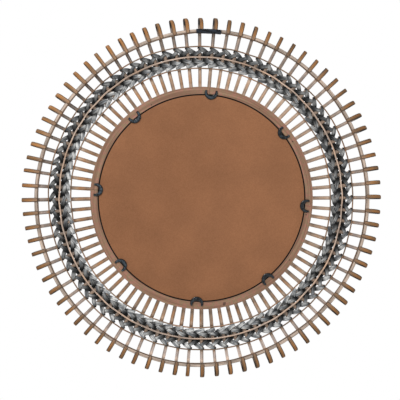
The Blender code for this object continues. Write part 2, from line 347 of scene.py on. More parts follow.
# %% Light
world = bpy.data.worlds.new("studio")
bpy.context.scene.world = world
world.use_nodes = True
lamps = world.node_tree
lamps.nodes.clear()
seen = lamps.nodes.new("ShaderNodeLightPath")
level = lamps.nodes.new("ShaderNodeMix")
level.data_type = "FLOAT"
level.inputs[2].default_value = 0.4  # as the mirror is lit
level.inputs[3].default_value = 1.0  # as the camera sees it
sky = lamps.nodes.new("ShaderNodeBackground")
sky.inputs["Color"].default_value = (1.0, 1.0, 1.0, 1.0)
sky_out = lamps.nodes.new("ShaderNodeOutputWorld")
lamps.links.new(seen.outputs["Is Camera Ray"], level.inputs[0])
lamps.links.new(level.outputs[0], sky.inputs["Strength"])
lamps.links.new(sky.outputs[0], sky_out.inputs["Surface"])
bpy.context.scene.view_settings.view_transform = "Standard"


def panel(name, place, size, power):
    """A square light of that size and power at a place, turned towards the mirror's centre."""
    data = bpy.data.lights.new(name, "AREA")
    data.size, data.energy = size, power
    made = bpy.data.objects.new(name, data)
    bpy.context.scene.collection.objects.link(made)
    made.location = place
    made.rotation_euler = (centre - Vector(place)).to_track_quat("-Z", "Y").to_euler()


panel("back_key", (1.5, 2.4, 1.8), 1.1, 60)
panel("back_fill", (-2.0, 2.2, -0.2), 1.6, 10)
panel("front_key", (-1.6, -2.4, 1.4), 1.6, 60)
print("a world and three panels")

# %% Floor
FLOOR_REACH, FLOOR_LEVEL = 2.5, -1.3
floor_mesh = bpy.data.meshes.new("floor")
floor_mesh.from_pydata(
    [(FLOOR_REACH * x, FLOOR_REACH * y, FLOOR_LEVEL) for x, y in ((-1, -1), (1, -1), (1, 1), (-1, 1))],
    [],
    [(0, 1, 2, 3)],
)
floor = bpy.data.objects.new("floor", floor_mesh)
bpy.context.scene.collection.objects.link(floor)
pale = Finish("pale_floor")
grain = pale.noise(pale.place(), scale=3.0)
floor_mesh.materials.append(
    pale.surface(Base_Color=grain.mix(paint(226, 226, 224), paint(236, 236, 234)), Roughness=0.8)
)
print("a floor", -FLOOR_LEVEL, "m below the hanger")

# %% [markdown]
# ## Rattan
#
# Split rattan is flat cane: long straight fibres, a smooth brown skin on the outer face and dull, paler
# fibres on the inner face. The spokes were washed with grey, and the wash wore off to orange in places.
# Fibres follow the strip, so the noise reads the UV map, stretched far more across the strip than along it.
# Where the skin, the wash and the worn places are is stored on the mesh, because they depend on the place
# along a spoke.

# %% Rattan finish


def fibres(finish, shift, along=14.0, across=900.0):
    """Noise drawn out along the strip: fine streaks, and slower patches of light and dark."""
    fine = finish.noise(finish.place("UV", (along, across, 1)), detail=4.0, shift=shift)
    broad = finish.noise(finish.place("UV", (along * 2.5, across / 6, 1)), detail=2.0, shift=shift)
    return fine, broad


def rattan(name, skin_colour, inner_colour, wash_colour, worn_colour, edge=0.3, streaks=(0.58, 1.34)):
    """Cane with its wash, its worn places and a rim amount of painted shade, each by an amount on the mesh;
    a negative rim amount is painted light. edge is the light left where the rim amount is 1, and streaks are
    the darkest and the lightest fibre."""
    finish = Finish(name)
    tone = finish.attribute("tone")
    fine, broad = fibres(finish, finish.scaled((3.1, 7.7, 5.3), tone * 9.0))
    colour = finish.attribute("skin").mix(inner_colour, skin_colour)
    colour = (finish.attribute("wash") * broad.between(0.3, 0.62, 0.75, 1.0)).mix(colour, wash_colour)
    colour = (finish.attribute("worn") * broad.between(0.36, 0.6)).mix(colour, worn_colour)
    light = fine.between(0.32, 0.68, *streaks) * broad.between(0.32, 0.68, 0.8, 1.16)
    # the rim amount is painted shade at edges and overlaps, and painted light where it is negative
    light = light * (tone * 0.26 + 0.88) * (1 - finish.attribute("rim") * (1 - edge))
    return finish.surface(
        bump=fine * 0.7 + broad,
        strength=0.5,
        distance=0.0004,
        Base_Color=finish.scaled(colour, light),
        Roughness=fine.between(0.3, 0.7, 0.62, 0.42),
    )


split_rattan = rattan(
    "split_rattan",
    paint(166, 121, 75),
    paint(202, 176, 154),
    paint(152, 137, 128),
    paint(173, 115, 58),
)
hoop_cane = rattan(
    "hoop_cane",
    paint(212, 190, 172),
    paint(190, 164, 146),
    paint(176, 162, 150),
    paint(166, 122, 86),
    edge=0.5,
    streaks=(0.5, 1.4),
)
print("made", split_rattan.name, "and", hoop_cane.name)

# %% [markdown]
# ## The outer hoop
#
# A flat cane hoop carries the loops, with a thin brown rod bound to its inner edge. It was bent by hand, so
# it isn't a true circle: the photograph shows it drawn in by up to eight millimetres. A smooth closed curve
# through a few offsets gives the same sway, and the spokes' ends and the rod follow it. The tips of the
# loops and the thin hoops in the weave have sways of their own.

# %% How the hoop sways
HOOP_SWAY = [  # degrees, and pixels of the photograph
    (0, 0.1), (20, -0.2), (38, -0.9), (65, -1.6), (100, -1.5), (119, -1.9), (137, -3.2), (155, -2.4),
    (173, -0.6), (190, -0.1), (227, -0.1), (245, -1.4), (270, -2.4), (290, -2.8), (312, -3.7), (326, -3.5),
    (344, -2.0),
]


def sway(angle):
    """The hoop's radius minus its CAD radius, in metres."""
    return PIXEL * between_keys(angle, HOOP_SWAY, 9)


TIP_SWAY = [  # degrees, and pixels of the photograph
    (0, 0.4), (8, 0.5), (25, 0.0), (40, 0.2), (50, 1.1), (60, 0.4), (70, -0.6), (80, -0.2), (95, -0.4),
    (112, -0.9), (128, 0.3), (140, 0.3), (158, -0.9), (178, -0.7), (195, -0.4), (212, 0.3), (227, -0.8),
    (238, 0.0), (255, -1.1), (270, 0.1), (281, -0.3), (290, -1.2), (300, -1.8), (306, -1.2), (318, -0.3),
    (335, -0.4), (350, 0.5),
]


def sway_of_tips(angle):
    """How far the rows of loops reach past the CAD tips or stop short of them, in metres."""
    return PIXEL * between_keys(angle, TIP_SWAY, 3)


around = np.linspace(0, 2 * np.pi, 480, endpoint=False)
least, most = sway(around).min(), sway(around).max()
print("the hoop's radius sways from", round(least * 1000, 1), "to", round(most * 1000, 1), "mm")

# %% How the weave sways
HOOP_PLACES = 129.8, 140.7, 152.0  # the three thin hoops, in pixels from the centre
WEAVE_SWAY = np.array(
    [  # degrees, and pixels of the photograph for the inner, the middle and the outer one
        (8, -0.4, -0.1, -1.2), (30, -0.9, -0.4, -0.8), (55, -0.2, -0.4, 0.0), (68, -0.1, 0.0, -0.4),
        (85, -0.8, -0.2, -0.9), (98, -0.6, 0.0, -0.3), (112, 0.4, 0.6, 0.4), (130, -0.5, 0.0, -0.5),
        (158, -0.3, 0.2, -0.3), (188, 0.1, 0.3, -0.2), (203, 0.1, 0.4, 0.2), (218, 0.9, 1.0, 1.4),
        (233, 1.2, 1.4, 1.3), (250, 0.7, 1.0, 0.6), (263, 0.5, 1.3, 0.8), (280, 1.7, 1.8, 1.2),
        (293, 1.5, 1.5, 0.5), (308, 0.0, 1.3, -0.2), (323, 0.6, 0.9, -0.1), (338, 0.8, 0.7, 0.6),
        (352, 0.2, 0.7, -0.2),
    ]
)


def sway_of_weave(angle, pixels):
    """The weave's radius minus its CAD radius: a straight line between the hoops' sways, in metres."""
    inner, middle, outer = (between_keys(angle, WEAVE_SWAY[:, [0, column]], 5) for column in (1, 2, 3))
    inside = np.clip((pixels - HOOP_PLACES[0]) / (HOOP_PLACES[1] - HOOP_PLACES[0]), 0, 1)
    outside = np.clip((pixels - HOOP_PLACES[1]) / (HOOP_PLACES[2] - HOOP_PLACES[1]), 0, 1)
    return PIXEL * (inner + (middle - inner) * inside + (outer - middle) * outside)


lifts = [sway_of_weave(around, pixels) for pixels in HOOP_PLACES]
print("the thin hoops sway out by up to", [round(lift.max() * 1000, 1) for lift in lifts], "mm")

# %% Hoop and rod
in_tape = bump(around, 0, 5.5)
CROWN, HOOP_EDGE = 0.0001, 0.0014  # how far its back bulges, and how wide its soft edges are
hoop_section = soften(
    [
        (HOOP_IN, HOOP_BACK),
        (HOOP_IN + HOOP_WIDE / 2, HOOP_BACK - CROWN),
        (HOOP_IN + HOOP_WIDE, HOOP_BACK),
        (HOOP_IN + HOOP_WIDE, HOOP_FRONT),
        (HOOP_IN, HOOP_FRONT),
    ],
    HOOP_EDGE,
)
hoop_grid = turned(hoop_section, around, sway(around))
NARROWER, IN_TAPE_NARROWER = 0.0004, 0.0008  # taken off the outer edge, everywhere and under the tape
outer_share = ease(hoop_section[:, 0] - HOOP_IN, 0.0, HOOP_WIDE)
narrow = (NARROWER + IN_TAPE_NARROWER * in_tape)[:, None] * outer_share[None, :]
hoop_grid -= heading(around[:, None], narrow)[None]
hoop = skin(
    "outer_hoop_cane",
    hoop_grid,
    loop=True,
    attributes={
        "tone": 0.5,
        "skin": 1.0,
        "wash": (0.45 + 0.45 * np.sin(31 * around) * np.sin(17 * around + 1))[None, :, None],
        "worn": 0.12,
        # painted shade on the hoop's two soft edges
        "rim": (np.abs(hoop_section[:, 0] - HOOP_IN - HOOP_WIDE / 2) > 0.0028)[None, None, :] * 0.6,
    },
)
dress(hoop, hoop_cane, "split_rattan", "spoke_loops_on_outer_hoop", "hanger_loops")

# %% [markdown]
# ## Round reeds
#
# Thin hoops of round reed tie the spokes: one beside each edge of the weave, a thicker one between the two
# bands, and the rod. They are circles carried round the axis with a slight waver, since a reed springs a
# little between the spokes that hold it. The thin ones look thicker in the photograph than the CAD model's
# 2.5 mm, and the thick one thinner than its 3.6, so both are drawn as they look.

# %% Reeds
reed_finish = rattan(
    "round_reed",
    paint(168, 136, 106),
    paint(168, 136, 106),
    paint(140, 122, 108),
    paint(170, 108, 60),
)
pale_reed = rattan(
    "pale_reed",
    paint(214, 189, 170),
    paint(214, 189, 170),
    paint(190, 170, 156),
    paint(202, 158, 122),
)


def waver(angle, size, seed):
    """size times the mean of three seeded sine waves of 7 to 40 turns round the circle."""
    draw = np.random.default_rng(seed)
    turns, starts = draw.integers(7, 40, 3), draw.uniform(0, 2 * np.pi, 3)
    return size * np.sin(angle[:, None] * turns + starts).mean(axis=1)


def reed(name, radius, depth, diameter, node, seed, tone, finish=reed_finish, lift=0.0):
    """A circle of that diameter carried round the axis at that radius and depth."""
    section = circle(diameter / 2) + (radius, depth)
    grid = turned(section, around, lift + waver(around, 0.0007, seed))
    worn = 0.3 + 0.3 * np.sin(11 * around + seed) * np.sin(4 * around)
    made = skin(
        name,
        grid,
        loop=True,
        attributes={"tone": tone, "skin": 1.0, "wash": 0.35, "worn": worn[None, :, None], "rim": 0.0},
    )
    dress(made, finish, "round_reed", node)


THIN, THICK = 0.0029, 0.0034
INNER_HOOP, MIDDLE_HOOP, OUTER_HOOP = 0.27405, 0.2971, 0.32125
REED_BACK = SPOKE_BACK - GAP
reed("inner_thin_reed", INNER_HOOP, REED_BACK - THIN / 2, THIN, "inner_thin_hoop", 3, 0.35, lift=lifts[0])
reed("middle_reed", MIDDLE_HOOP, REED_BACK - THICK / 2, THICK, "middle_hoop", 4, 0.6, pale_reed, lifts[1])
reed("outer_thin_reed", OUTER_HOOP, REED_BACK - THIN / 2, THIN, "outer_thin_hoop", 5, -0.5, lift=lifts[2])
rod_lift = sway(around) + 0.0003 + 0.0004 * in_tape  # a little further out, most of all under the tape
reed("hoop_rod", ROD_IN + ROD / 2, HOOP_BACK + GAP + ROD / 2, ROD, "outer_hoop_rod", 6, -1.3, lift=rod_lift)

# %% [markdown]
# ## Looped spokes
#
# Each spoke is one long strip of split rattan. It starts under the trim on the front of the ring, runs out
# straight, bends over at the tip and comes back behind to end on the hoop. Many of them are twisted a
# little, so that the arm behind doesn't lie over the arm in front, and its dark inside shows beside it.
#
# A section carried along the line of the strip makes all eighty at once. Each gets its own small
# differences, drawn from a seeded generator.
#
# The real spokes aren't spaced evenly: the photograph shows whole rows of them standing to one side,
# leaning and twisting alike. A few key angles hold that, in pixels to the clockwise side.

# %% How the spokes stand
INNER_PLACE, OUTER_PLACE = 121.0, 158.5  # the radii in pixels where the places were taken
STANCE = np.array(
    [  # degrees, aside inside, lean on the way out, twist behind
        (0, -1.7, 0.0, 1.7), (7, -1.5, 0.2, 0.7), (22, -1.4, 0.0, 0.3), (35, -1.9, -0.1, 0.0),
        (45, -1.7, -0.9, 0.6), (55, -2.0, -0.2, -0.5), (61, -2.3, 0.3, -1.9), (66, -2.5, -0.2, -0.5),
        (80, -1.9, -0.2, -0.4), (85, -1.2, -0.5, -0.7), (90, 0.1, -0.4, -1.2), (127, -0.2, -0.1, -1.2),
        (139, -0.5, -1.0, -1.0), (152, -0.4, -0.5, -1.3), (168, -0.7, -0.8, -1.7), (180, -0.3, -0.3, -0.7),
        (192, -0.1, -0.4, -0.8), (203, -0.1, -0.4, -0.2), (212, -1.0, -0.1, 0.0), (222, -1.0, 0.4, 0.3),
        (235, -2.8, 0.0, 0.8), (258, -3.0, 0.0, 0.2), (268, -1.6, -0.9, 0.5), (272, 0.0, -0.9, 0.2),
        (282, -0.5, -0.5, 0.4), (304, -1.5, -1.0, 1.3), (318, -0.5, -0.6, 0.6), (334, -1.2, -0.9, 1.2),
        (345, -2.5, -0.8, 1.8), (354, -2.2, -0.6, 2.0),
    ]
)


def stance(angle, pixels):
    """How far aside a spoke stands, in metres: aside + lean (radius - inner) / (outer - inner)."""
    here, slope = (between_keys(angle, STANCE[:, [0, column]], 2.5) for column in (1, 2))
    return PIXEL * (here + slope * (pixels - INNER_PLACE) / (OUTER_PLACE - INNER_PLACE))


print("spokes stand aside by up to", round(float(np.abs(stance(spoke_angles, 150)).max()) * 1000, 1), "mm")

# %% The line of a spoke
STRIP_SECTION = np.array(
    [
        (-1.0, 0.1), (-0.9, 0.6), (-0.5, 0.92), (0.0, 1.0), (0.5, 0.92), (0.9, 0.6), (1.0, 0.1),
        (1.0, -0.6), (0.88, -1.0), (0.0, -1.0), (-0.88, -1.0), (-1.0, -0.6),
    ]
)
HALF = SPOKE_THICK / 2
FRONT_LINE, BACK_LINE = SPOKE_BACK + HALF, ARM_BACK + HALF
BEND = (FRONT_LINE - BACK_LINE) / 2
SEAT = RING_OUT - 0.012  # where a spoke starts, under the trim
ROUND_END = 0.003  # the length of its rounded end on the hoop


def spoke_line(tips, ends):
    """Radius, depth and progress along each spoke: straight out with progress 0, half a circle of radius
    BEND up to 0.5, and straight back up to 1. tips and ends hold one radius for each spoke."""
    outwards = np.linspace(0, 1, 22)
    turning = np.linspace(0, np.pi, 13)[1:-1]
    back = np.linspace(0, 1, 9)
    last = np.array([0.0016, 0.0008, 0.0])  # close rows within the rounded end
    bend_at = (tips - HALF - BEND)[:, None]
    radius = np.concatenate(
        [
            SEAT + (bend_at - SEAT) * outwards,
            bend_at + BEND * np.sin(turning),
            bend_at + (ends[:, None] + ROUND_END - bend_at) * back,
            ends[:, None] + last,
        ],
        axis=1,
    )
    depth = np.concatenate(
        [
            np.full(len(outwards), FRONT_LINE),
            (FRONT_LINE + BACK_LINE) / 2 + BEND * np.cos(turning),
            np.full(len(back) + len(last), BACK_LINE),
        ]
    )
    progress = np.concatenate(
        [np.zeros(len(outwards)), turning / np.pi * 0.5, 0.5 + 0.5 * back, np.ones(len(last))]
    )
    return radius, np.broadcast_to(depth, radius.shape), progress


# tips and ends differ by about a millimetre from spoke to spoke
tips = TIP_RADIUS + 0.0004 + sway_of_tips(spoke_angles) - 0.0010 * random.uniform(0, 1, SPOKES)
ends = HOOP_IN + sway(spoke_angles) + 0.0006 - 0.0012 * random.uniform(0, 1, SPOKES)
radius, depth, progress = spoke_line(tips, ends)
print("a spoke has", radius.shape[1], "rows")

# %% Twist and width along the spokes
SPOKE_HALF, FOOT_WIDER, ARM_WIDER = 0.0037, 0.0003, 0.0005  # half a spoke's width, and what is added to it


def side(centre, width):
    """1 for the spokes about centre degrees round from the top, fading out over width degrees."""
    return bump(spoke_angles, centre, width)[:, None]


pixels = radius / PIXEL
twist = between_keys(spoke_angles, STANCE[:, [0, 3]], 2.5) + random.normal(0, 0.2, SPOKES)
tilt = random.normal(0, 0.18, SPOKES)
aside = stance(spoke_angles[:, None], pixels)
aside += PIXEL * twist[:, None] * ease(progress, 0.0, 0.7)
aside += PIXEL * tilt[:, None] * (0.5 + ease(pixels, 125, 165))
wide_foot = FOOT_WIDER * side(165, 75) * (1 - 2 * ease(pixels, 130, 158))
half_width = SPOKE_HALF + wide_foot * (progress == 0) + ARM_WIDER * ease(progress, 0.05, 0.5)
half_width += random.normal(0, 0.00012, (SPOKES, 1))
tongue = np.ones(radius.shape[1])
tongue[-3:] = 0.94, 0.8, 0.5
print("the widest place of a spoke is", round(float(half_width.max()) * 2000, 2), "mm wide")

# %% The spokes' grid
tangent = np.gradient(radius, axis=1), np.gradient(depth, axis=1)
length = np.hypot(*tangent) + 1e-9
path = polar(spoke_angles[:, None], radius, depth, aside)
outwards = heading(spoke_angles[:, None], radius=1.0)
sideways = heading(spoke_angles[:, None], aside=1.0)
forwards = np.array([0.0, -1.0, 0.0])
normal = (-tangent[1] / length)[..., None] * outwards + (tangent[0] / length)[..., None] * forwards
sections = STRIP_SECTION * np.stack(
    np.broadcast_arrays(half_width * tongue, np.full_like(radius, HALF)), axis=-1
)[:, :, None, :]
spoke_grid = carry(path, sideways, normal, sections)
print("the spokes' grid is", spoke_grid.shape[:3])

# %% [markdown]
# The colour of a spoke changes on its way. In front it is bare between ring and weave, rubbed orange beside
# the thin hoops, and washed grey outside the weave. Behind, the arm is brown and worn towards its tip.
# Painted shade darkens it where pieces lie over each other, beside the inner thin hoop and inside each loop
# towards its tip, and painted light brightens it at the ring's edge and just inside the hoop. Both change
# round the circle, set for each side as the light falls there. Whole rows of spokes also differ from the
# others: some are greyer, some more golden, as if the wash had been rubbed off one side of the mirror. All
# this is written as amounts of wear, wash and painted shade over the radius, in the photograph's pixels,
# each for the side of the circle where it is seen.

# %% Colour along the spokes
behind = progress[None, :] > 0.02
woven = pixels - sway_of_weave(spoke_angles[:, None], pixels) / PIXEL


def near(place, middle, width):
    """exp(-(d / w)^2) for a distance d of places in pixels from a middle."""
    return np.exp(-(((place - middle) / width) ** 2))


def span(place, start, end, soft=2.0):
    """1 between start and end, and 0 beyond them, with flanks soft pixels wide."""
    rise = ease(place, start - soft / 2, start + soft / 2)
    return rise * (1 - ease(place, end - soft / 2, end + soft / 2))


worn = np.where(
    behind,
    0.75 * ease(pixels, 167, 174),  # towards the tip
    (0.95 - 0.5 * side(165, 60)) * near(woven, 152.7, 1.1)  # beside the outer thin hoop
    + (0.65 - 0.4 * side(55, 55)) * span(pixels, 113.0, 125.0)  # between ring and weave
    + 0.3 * near(woven, 142.5, 3.0)  # beside the middle hoop
    + 0.9 * near(woven, 128.8, 0.8),  # beside the inner thin hoop
)
wash = np.where(
    behind,
    0.35 * (1 - ease(pixels, 167, 172)),
    0.25 * ease(woven, 128, 132)  # in the weave
    + (0.6 + 0.4 * side(165, 60)) * span(woven, 154.6, 161.5)  # outside it
    + 0.3 * ease(pixels, 161, 163)  # inside the loops
    + 0.4 * ease(pixels, 164, 167),
)
# painted shade on the wall-facing side of the arm in front; a negative amount is painted light
front_painted_shade_and_light = (
    0.85 * near(woven, 128.8, 0.7)
    + 0.4 * near(pixels, 114.4, 1.5)
    - 0.25 * (1 - ease(pixels, 112.2, 113.2))
    - 0.35 * span(pixels, 160.5, 171.5)
    + 1.7 * ease(pixels, 170.5, 174.5)
    + 0.15 * near(pixels, 157, 2.5)
    + (0.15 * side(135, 30) + 0.12 * side(262, 34) - 0.17 * side(10, 30)) * span(pixels, 112, 128)
    + (0.4 + 0.2 * side(270, 38) + 0.1 * side(112, 26)) * span(woven, 135, 148)
    + (0.65 * side(313, 38) - 1.5 * side(170, 46) - 0.2 * side(60, 32) - 0.08) * span(woven, 154.6, 165)
    + 0.35 * near(woven, 152.7, 0.8)
    + 0.4 * side(8, 24) * span(pixels, 159.5, 165)
)
print("worn by up to", worn.max().round(2), "and washed by up to", wash.max().round(2))

# %% Looped spokes
far = ease(pixels, 171, 179)
# painted shade on the arm behind, darker towards the tip and at the bottom, with painted light at the upper
# left
painted_shade_and_light = np.where(
    behind[..., None],
    (0.17 + 0.4 * far + 0.12 * side(190, 20) - (0.5 + 0.2 * far) * side(316, 31))[..., None],
    front_painted_shade_and_light[..., None] * (STRIP_SECTION[:, 1] < 0),
)
# painted shade along the edges of the crowned strip, half as strong on the arm in front
rim = np.clip((np.abs(STRIP_SECTION[:, 0]) - 0.5) / 0.4, 0, 1)
tan = 0.55 * side(262, 80) * span(pixels, 111, 128)  # the golden rows at the left
looped = skin(
    "looped_spokes",
    spoke_grid,
    attributes={
        "tone": random.uniform(0, 1, (SPOKES, 1, 1)),
        "skin": np.where(STRIP_SECTION[:, 1] > 0, 1.0, tan[..., None]),
        "wash": wash[:, :, None],
        "worn": worn[:, :, None],
        # the rim amount carries the painted edge shade and the painted shade and light above
        "rim": np.clip(rim * np.where(behind, 1.0, 0.5)[..., None] + painted_shade_and_light, -1.8, 1.4),
    },
)
dress(looped, split_rattan, "split_rattan", "spoke_loops_on_outer_hoop", "hanger_loops")

# %% [markdown]
# ## The woven bands
#
# Each band is two flat strands. A strand comes from the front of one spoke, slants over the back of the
# next, wraps once round it, slants away over its back again and dives in front of the one after. The other
# strand does the same one spoke later, so the slants cross in a row of little crosses between the hoops.
#
# We write down the strand's key places for one such step: how many spokes along, the radius in the
# photograph's pixels, the depth, the lean of the strip's width and a shade for what lies deep in the weave.
# A smooth curve through them, repeated forty times round, is the path of the ribbon.

# %% Levels of the weave
STRIP_WIDTH, STRIP_THICK = 0.0076, 0.0012
BEHIND = SPOKE_BACK - GAP - STRIP_THICK / 2  # on the back of a spoke
ABOVE = BEHIND - 0.0014  # over a strip that lies there already
BEFORE = SPOKE_BACK + SPOKE_THICK + GAP + STRIP_THICK / 2  # on the front of a spoke
BETWEEN = (BEHIND + BEFORE) / 2  # on the way past its side
print("the strands lie at depths from", round(ABOVE * 1000, 1), "to", round(BEFORE * 1000, 1), "mm")

# %% Key places of a strand
# spokes along, radius in pixels, depth, lean in degrees, width, shade
OUTER_STEP = np.array(
    [
        (-1.15, 142.4, BEFORE, 14, 1.35, 1.0),
        (-0.86, 142.4, BEFORE, 8, 1.35, 1.0),
        (-0.74, 142.6, BETWEEN, 0, 1.30, 1.0),
        (-0.56, 143.2, BEHIND + 0.0004, -16, 1.18, 0.95),
        (-0.33, 144.9, BEHIND, -26, 1.04, 0.6),
        (0.00, 147.3, BEHIND, -28, 0.90, 0.0),
        (0.15, 148.6, BEHIND, -24, 0.84, 0.0),
        (0.20, 149.2, BETWEEN, 2, 0.70, 0.6),
        (0.13, 149.9, BEFORE, 24, 0.75, 0.4),
        (-0.13, 150.9, BEFORE, 24, 0.65, 0.6),
        (-0.18, 151.2, BETWEEN, 20, 0.42, 1.0),
        (-0.12, 151.0, ABOVE - 0.0012, 20, 0.45, 1.0),
        (0.10, 149.6, ABOVE, 28, 0.98, 0.0),
        (0.31, 147.7, BEHIND - 0.0004, 34, 1.22, 0.0),
        (0.52, 145.9, BEHIND + 0.0012, 34, 1.16, 0.95),
        (0.70, 143.8, BEFORE - 0.0014, 26, 1.25, 1.0),
    ]
)
INNER_STEP = np.array(
    [
        (-1.15, 138.2, BEFORE, -14, 1.48, 1.0),
        (-0.86, 138.3, BEFORE, -8, 1.50, 1.0),
        (-0.74, 138.1, BETWEEN, 0, 1.48, 1.0),
        (-0.53, 137.9, BEHIND + 0.0004, 10, 1.36, 0.95),
        (-0.30, 137.1, BEHIND, 15, 1.12, 0.55),
        (0.00, 136.1, BEHIND, 14, 1.08, 0.0),
        (0.17, 135.5, BEHIND, 8, 1.02, 0.0),
        (0.255, 135.1, BETWEEN, -6, 0.95, 0.8),
        (0.16, 134.4, BEFORE, -32, 1.00, 0.6),
        (-0.16, 132.4, BEFORE, -32, 1.00, 0.5),
        (-0.255, 131.9, BETWEEN, -14, 0.90, 0.5),
        (-0.17, 131.8, ABOVE - 0.0012, -12, 1.00, 0.0),
        (0.05, 132.3, ABOVE, -14, 1.08, 0.0),
        (0.30, 133.5, BEHIND - 0.0004, -16, 1.20, 0.0),
        (0.52, 134.4, BEHIND + 0.0012, -22, 1.28, 0.85),
        (0.70, 136.9, BEFORE - 0.0014, -24, 1.46, 1.0),
    ]
)
SAMPLES = 64  # rows of the ribbon for one step of two spokes
AS_PIXELS = 11.6, 1, 1 / PIXEL, 0, 0, 0  # how long one spoke's pitch, one pixel and one metre are
SHORTEST = 0.4  # pixels added to each stretch, so that a short one gets its rows as well


def through(places, count):
    """A Catmull-Rom curve through the places, closed after two spokes. Between P1 and P2 it is
    (2 P1 + (P2 - P0) t + (2 P0 - 5 P1 + 4 P2 - P3) t^2 + (3 P1 - P0 - 3 P2 + P3) t^3) / 2."""
    ahead = places.copy()
    ahead[:, 0] += 2
    before = places.copy()
    before[:, 0] -= 2
    line = np.concatenate([before[-1:], places, ahead[:2]])
    step = np.diff(line[1:-1] * AS_PIXELS, axis=0)
    reach = np.concatenate([[0], np.cumsum(np.sqrt((step**2).sum(axis=1)) + SHORTEST)])
    want = np.linspace(0, reach[-1], count, endpoint=False)
    which = np.clip(np.searchsorted(reach, want, side="right") - 1, 0, len(places) - 1)
    t = ((want - reach[which]) / (reach[which + 1] - reach[which]))[:, None]
    p0, p1, p2, p3 = (line[which + k] for k in range(4))
    curve = 2 * p1 + (p2 - p0) * t
    curve += (2 * p0 - 5 * p1 + 4 * p2 - p3) * t**2
    curve += (3 * p1 - p0 - 3 * p2 + p3) * t**3
    return curve / 2


one_step = through(OUTER_STEP, SAMPLES)
print("along from", one_step[:, 0].min().round(2), "to", one_step[:, 0].max().round(2), "spokes in a step")

# %% Strands
RIBBON = np.array(
    [
        (-0.5, -0.22), (-0.38, -0.5), (0.38, -0.5), (0.5, -0.22),
        (0.5, 0.22), (0.38, 0.5), (-0.38, 0.5), (-0.5, 0.22),
    ]
)
STEPS = SPOKES // 2
TOP_AND_BOTTOM = np.radians(172)
UNEVEN = 0.015, 0.35, 0.0, 3.0, 0.03, 0.0  # the spread of each value of a key place


def strand_rows(places, first):
    """The rows of a whole strand, with small seeded differences between its steps that fade in and out."""
    rows = np.broadcast_to(through(places, SAMPLES), (STEPS, SAMPLES, 6)).copy()
    wobble = np.sin(np.linspace(0, 2 * np.pi, SAMPLES, endpoint=False))[None, :, None]
    wobble = wobble * random.normal(0, 1, (STEPS, 1, 6)) * UNEVEN
    rows += wobble
    rows[:, :, 0] += first + 0.5 + 2 * np.arange(STEPS)[:, None]
    return rows.reshape(-1, 6)


def strand(name, places, first, node, finish, light_side, gain):
    """width (cos lean x outwards + sin lean x clockwise) is across the ribbon, and its path's direction
    times that is its normal. A flat section of eight corners is carried along it. gain adds to the painted
    light of the whole strand, and about light_side, in degrees, painted light makes its rows away from the
    middle hoop lightest."""
    rows = strand_rows(places, first)
    angle, pixels, depth, lean, width, shade = rows.T
    angle = angle * PITCH
    path = polar(angle, pixels * PIXEL + sway_of_weave(angle, pixels), depth, stance(angle, pixels))
    along = np.roll(path, -1, axis=0) - np.roll(path, 1, axis=0)
    along /= np.linalg.norm(along, axis=1, keepdims=True)
    lean = np.radians(lean)[:, None]
    across = np.cos(lean) * heading(angle, radius=1.0) + np.sin(lean) * heading(angle, aside=1.0)
    across -= along * (along * across).sum(axis=1, keepdims=True)
    across /= np.linalg.norm(across, axis=1, keepdims=True)
    normal = np.cross(along, across)
    size = np.stack([width * STRIP_WIDTH, np.full_like(width, STRIP_THICK)], axis=-1)
    grid = carry(path, across, normal, RIBBON[None] * size[:, None, :])[None]
    offset = grid - path[None, :, None, :]
    facing_wall = offset[..., 1] / (STRIP_THICK / 2)
    tone = np.repeat(random.uniform(0, 1, STEPS * 2), SAMPLES // 2)
    deep = 1 - ease(np.abs(pixels - HOOP_PLACES[1]), 3, 7)
    # painted light: lighter at the top and the bottom of the circle and about light_side away from the
    # middle hoop, with painted shade near it
    painted_light = gain + (0.5 + 0.7 * deep) * np.cos(2 * (angle - TOP_AND_BOTTOM)) - 0.4 * deep
    painted_light += 1.1 * (1 - deep) * np.cos(angle - np.radians(light_side))
    made = skin(
        name,
        grid,
        loop=True,
        attributes={
            "tone": tone[None, :, None],
            "painted_light": painted_light[None, :, None],
            # painted shade deep in the weave, on the faces turned to the wall
            "shade": np.clip(shade, 0, 1)[None, :, None] * ease(facing_wall, -0.2, 0.4),
            # painted shade along both edges of the strip, the dark lines between strips
            "rim": (np.abs(RIBBON[:, 0]) > 0.45)[None, None, :],
        },
    )
    dress(made, finish, "grey_strand", node)


print("a strand has", STEPS * SAMPLES, "rows of", len(RIBBON), "corners")

# %% [markdown]
# The strips are reed stained grey. The stain is uneven: pale streaks where the fibres stand up and darker
# ones between. Painted shade makes them nearly black deep in the weave, darker near the middle hoop and dark
# along their edges. Painted light makes them lighter at the top and the bottom of the circle than at the
# sides, and lighter on one side of the mirror in the rows away from the middle hoop.

# %% Grey stain
stain = Finish("grey_strand")
stain_tone = stain.attribute("tone")
streak, patch = fibres(stain, stain.scaled((5.1, 9.7, 3.3), stain_tone * 7.0), along=30.0, across=1100.0)
stain_colour = patch.between(0.38, 0.62).mix(paint(118, 121, 124), paint(190, 190, 188))
stain_colour = streak.between(0.6, 0.76, 0.0, 0.4).mix(stain_colour, paint(158, 142, 134))
stain_light = streak.between(0.28, 0.72, 0.4, 1.5) * (stain_tone * 0.5 + 0.8)
stain_light = stain_light * (stain.attribute("painted_light") * 0.3 + 0.85)
# painted shade deep in the weave and along the strips' edges
stain_light = stain_light * (1 - stain.attribute("shade") * 0.98) * (1 - stain.attribute("rim") * 0.85)
grey_stain = stain.surface(
    bump=streak + patch * 0.5,
    strength=0.6,
    distance=0.0004,
    Base_Color=stain.scaled(stain_colour, stain_light),
    Roughness=streak.between(0.3, 0.7, 0.7, 0.5),
    Specular_IOR_Level=0.15,
)

